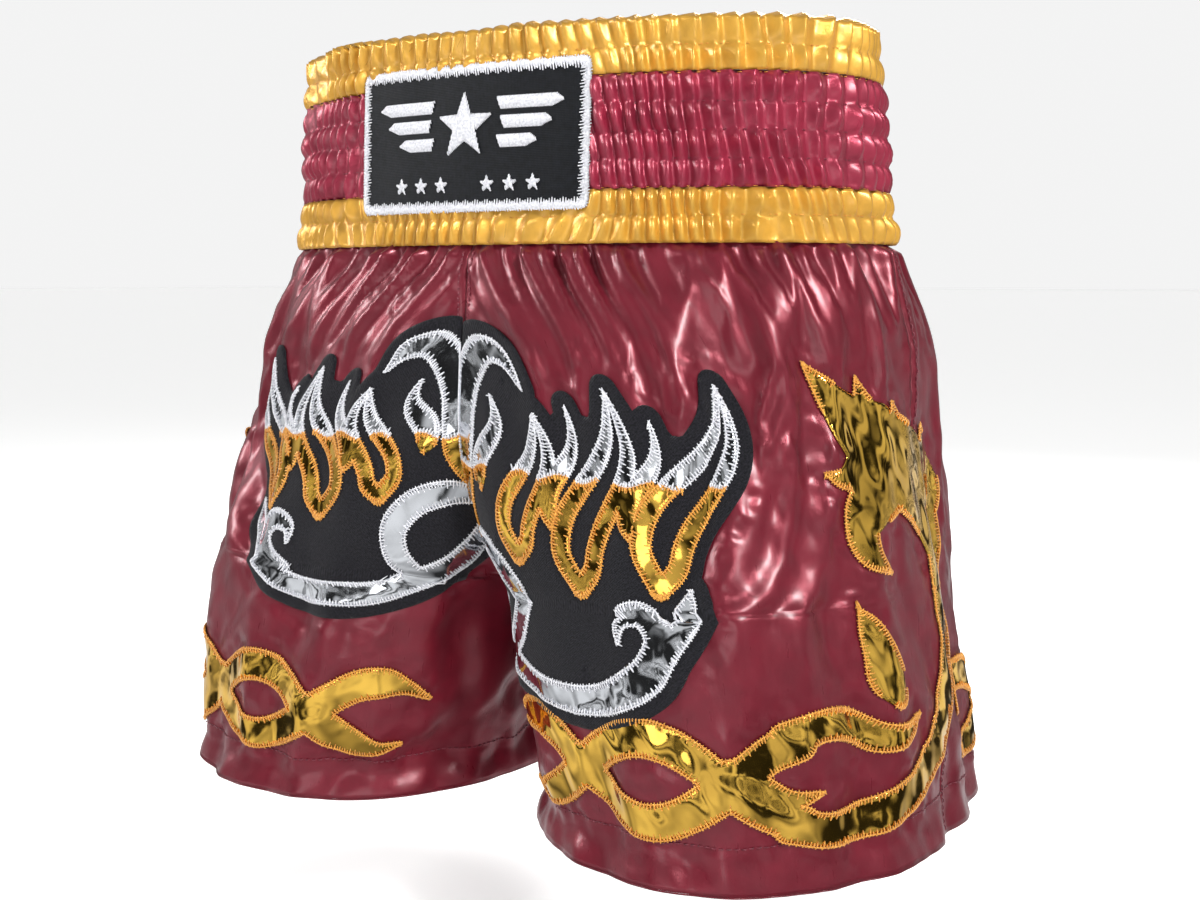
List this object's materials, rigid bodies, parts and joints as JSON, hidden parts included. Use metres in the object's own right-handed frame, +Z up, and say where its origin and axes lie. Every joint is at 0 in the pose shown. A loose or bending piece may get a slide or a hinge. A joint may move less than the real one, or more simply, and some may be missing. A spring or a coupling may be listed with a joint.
{
  "type": "boxing shorts",
  "caption": "Satin boxing shorts with a gathered elastic waistband, wide legs, a front label, felt and foil flame ornaments and foil hem bands.",
  "frame": {"origin": "centre of the waist opening, level with the waistband's top edge", "axes": "+Z up, -Y is the front of the shorts, +X the wearer's left"},
  "size_m": [0.428, 0.2608, 0.385],
  "materials": {
    "yellow_satin": "gathered satin",
    "maroon_satin": "glossy satin",
    "elastic_webbing": "woven elastic",
    "lining_cloth": "plain weave",
    "stitch_thread": "thread",
    "black_weave": "woven",
    "silver_thread": "satin stitch",
    "lining_thread": "thread",
    "tag_cloth": "printed tape, left blank",
    "maroon_thread": "overlocked",
    "black_felt": "felt",
    "silver_foil": "mirror foil laminate",
    "gold_foil": "mirror foil laminate"
  },
  "bodies": {
    "shorts_top": {"waistband_top_strip": "yellow_satin", "waistband_middle_strip": "maroon_satin", "waistband_bottom_strip": "yellow_satin", "waistband_elastic": "elastic_webbing", "waistband_lining": "lining_cloth", "waistband_stitch_rows": "stitch_thread", "label_backing": "black_weave", "label_border": "silver_thread", "label_emblem": "silver_thread", "label_small_stars": "silver_thread", "drawcord_buttonholes": "lining_thread", "size_tag": "tag_cloth", "front_panel_left_hip": "maroon_satin", "front_panel_right_hip": "maroon_satin", "back_panel_left_hip": "maroon_satin", "back_panel_right_hip": "maroon_satin", "centre_front_seam": "maroon_thread", "centre_back_seam": "maroon_thread", "crotch_gusset": "maroon_satin", "side_seam_left_hip": "maroon_thread", "felt_backing_left_hip": "black_felt", "silver_flames_left": "silver_foil", "gold_flames_left": "gold_foil", "gold_side_flame_left_hip": "gold_foil", "side_seam_right_hip": "maroon_thread", "felt_backing_right_hip": "black_felt", "silver_flames_right": "silver_foil", "gold_flames_right": "gold_foil", "gold_side_flame_right_hip": "gold_foil"},
    "left_leg": {"front_panel_left_leg": "maroon_satin", "back_panel_left_leg": "maroon_satin", "side_seam_left_leg": "maroon_thread", "inseam_left": "maroon_thread", "leg_hem_left": "maroon_satin", "felt_backing_left_leg": "black_felt", "silver_scroll_left": "silver_foil", "gold_hem_ribbons_left": "gold_foil", "gold_side_flame_left_leg": "gold_foil", "gold_teardrop_left": "gold_foil"},
    "right_leg": {"front_panel_right_leg": "maroon_satin", "back_panel_right_leg": "maroon_satin", "side_seam_right_leg": "maroon_thread", "inseam_right": "maroon_thread", "leg_hem_right": "maroon_satin", "felt_backing_right_leg": "black_felt", "silver_scroll_right": "silver_foil", "gold_hem_ribbons_right": "gold_foil", "gold_side_flame_right_leg": "gold_foil", "gold_teardrop_right": "gold_foil"}
  },
  "joints": [
    {"name": "left_leg_swing", "type": "hinge", "parent": "shorts_top", "child": "left_leg", "pos_m": [0.107, -0.007, -0.2], "axis": [1, 0, 0], "range_deg": [-15, 10]},
    {"name": "right_leg_swing", "type": "hinge", "parent": "shorts_top", "child": "right_leg", "pos_m": [-0.107, -0.0032, -0.2], "axis": [1, 0, 0], "range_deg": [-15, 10]}
  ]
}
